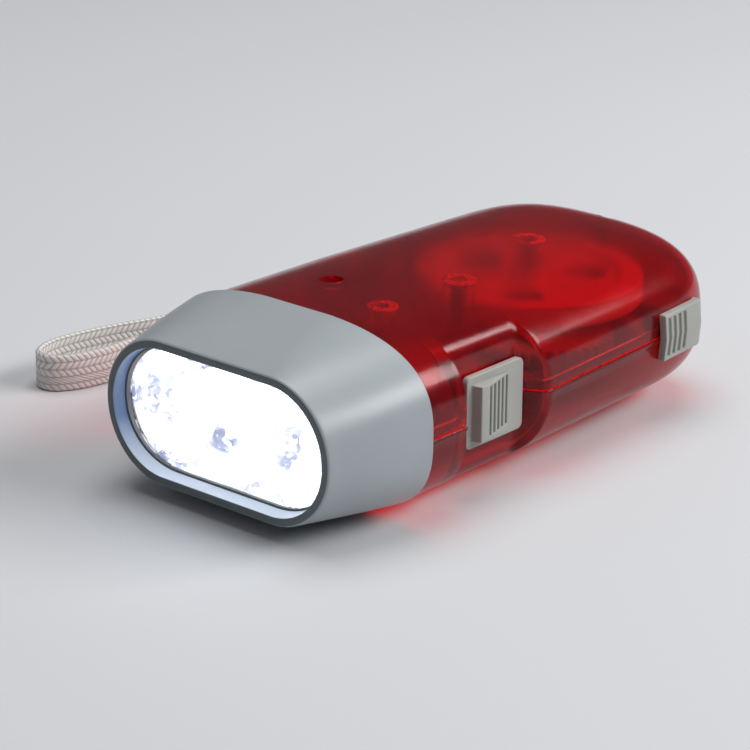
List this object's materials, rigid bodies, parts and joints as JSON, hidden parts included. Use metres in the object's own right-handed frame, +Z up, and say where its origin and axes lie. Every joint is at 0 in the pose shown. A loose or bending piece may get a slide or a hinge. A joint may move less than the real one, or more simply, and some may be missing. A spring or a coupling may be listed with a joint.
{
  "type": "hand crank flashlight",
  "caption": "Pocket flashlight with a squeeze lever that drives a gear train, flywheel and generator; LEDs behind an oval lens, slide switch, lever lock and wrist strap.",
  "frame": {"origin": "on the floor under the middle of the housing, with the strap left out", "axes": "+X to the switch side, +Y from the lens to the tail, +Z up; the squeeze lever is on the -X flank"},
  "size_m": [0.1004, 0.12, 0.0326],
  "materials": {
    "red_shell": "translucent, gloss",
    "grey_bezel": "satin",
    "grey_slide": "satin",
    "clear_lens": "gloss",
    "reflector": "mirror",
    "led": "gloss",
    "board": "matte",
    "nylon": "satin",
    "steel": "satin",
    "iron": "satin",
    "magnet": "matte",
    "copper": "satin",
    "brass": "satin",
    "black": "matte",
    "webbing": "woven"
  },
  "bodies": {
    "housing": {"lower_shell": "red_shell", "upper_shell": "red_shell", "head_bezel": "grey_bezel", "lens": "clear_lens", "reflector": "reflector", "led_left": "led", "led_centre": "led", "led_right": "led", "led_board": "board", "lever_pin": "steel", "drive_axle": "steel", "idler_axle": "steel", "stator_core": "iron", "coil_bobbin": "black", "coil_winding": "copper", "cell_lower": "steel", "cell_middle": "steel", "cell_upper": "steel", "switch_body": "black", "case_screw_front": "steel", "case_screw_rear": "steel", "strap_pin": "steel", "wrist_strap": "webbing"},
    "lever": {"squeeze_lever": "red_shell", "lever_spring": "steel"},
    "clutch": {"clutch_pinion": "nylon"},
    "drive": {"drive_gear": "nylon"},
    "idler": {"idler_gear": "nylon"},
    "wheel": {"flywheel": "nylon", "flywheel_pinion": "brass", "flywheel_shaft": "steel", "rotor_magnet": "magnet"},
    "switch": {"switch_slider": "grey_slide"},
    "lock": {"lock_slider": "grey_slide", "latch_bar": "steel"}
  },
  "joints": [
    {"name": "lever_squeeze", "type": "hinge", "parent": "housing", "child": "lever", "pos_m": [-0.022, 0.003, 0], "axis": [0, 0, 1], "range_deg": [0, 22], "deforming": ["lever_spring"]},
    {"name": "clutch_turn", "type": "hinge", "parent": "housing", "child": "clutch", "pos_m": [0.00773, -0.00102, 0], "axis": [0, 0, 1], "range_deg": [-111, 0]},
    {"name": "flywheel_spin", "type": "hinge", "parent": "housing", "child": "wheel", "pos_m": [0.002, 0.0255, 0], "axis": [0, 0, 1], "continuous": true},
    {"name": "idler_spin", "type": "hinge", "parent": "housing", "child": "idler", "pos_m": [0.01315, 0.01488, 0], "axis": [0, 0, 1], "continuous": true},
    {"name": "drive_spin", "type": "hinge", "parent": "housing", "child": "drive", "pos_m": [0.00773, -0.00102, 0], "axis": [0, 0, 1], "continuous": true},
    {"name": "switch_slide", "type": "slide", "parent": "housing", "child": "switch", "axis": [0, -1, 0], "range_m": [0, 0.0024]},
    {"name": "lock_slide", "type": "slide", "parent": "housing", "child": "lock", "axis": [0, 1, 0], "range_m": [0, 0.003]}
  ],
  "couplings": [
    {"joint": "clutch_turn", "follows": "lever_squeeze", "ratio": -5},
    {"joint": "idler_spin", "follows": "flywheel_spin", "ratio": -0.29412},
    {"joint": "drive_spin", "follows": "flywheel_spin", "ratio": 0.077399}
  ]
}
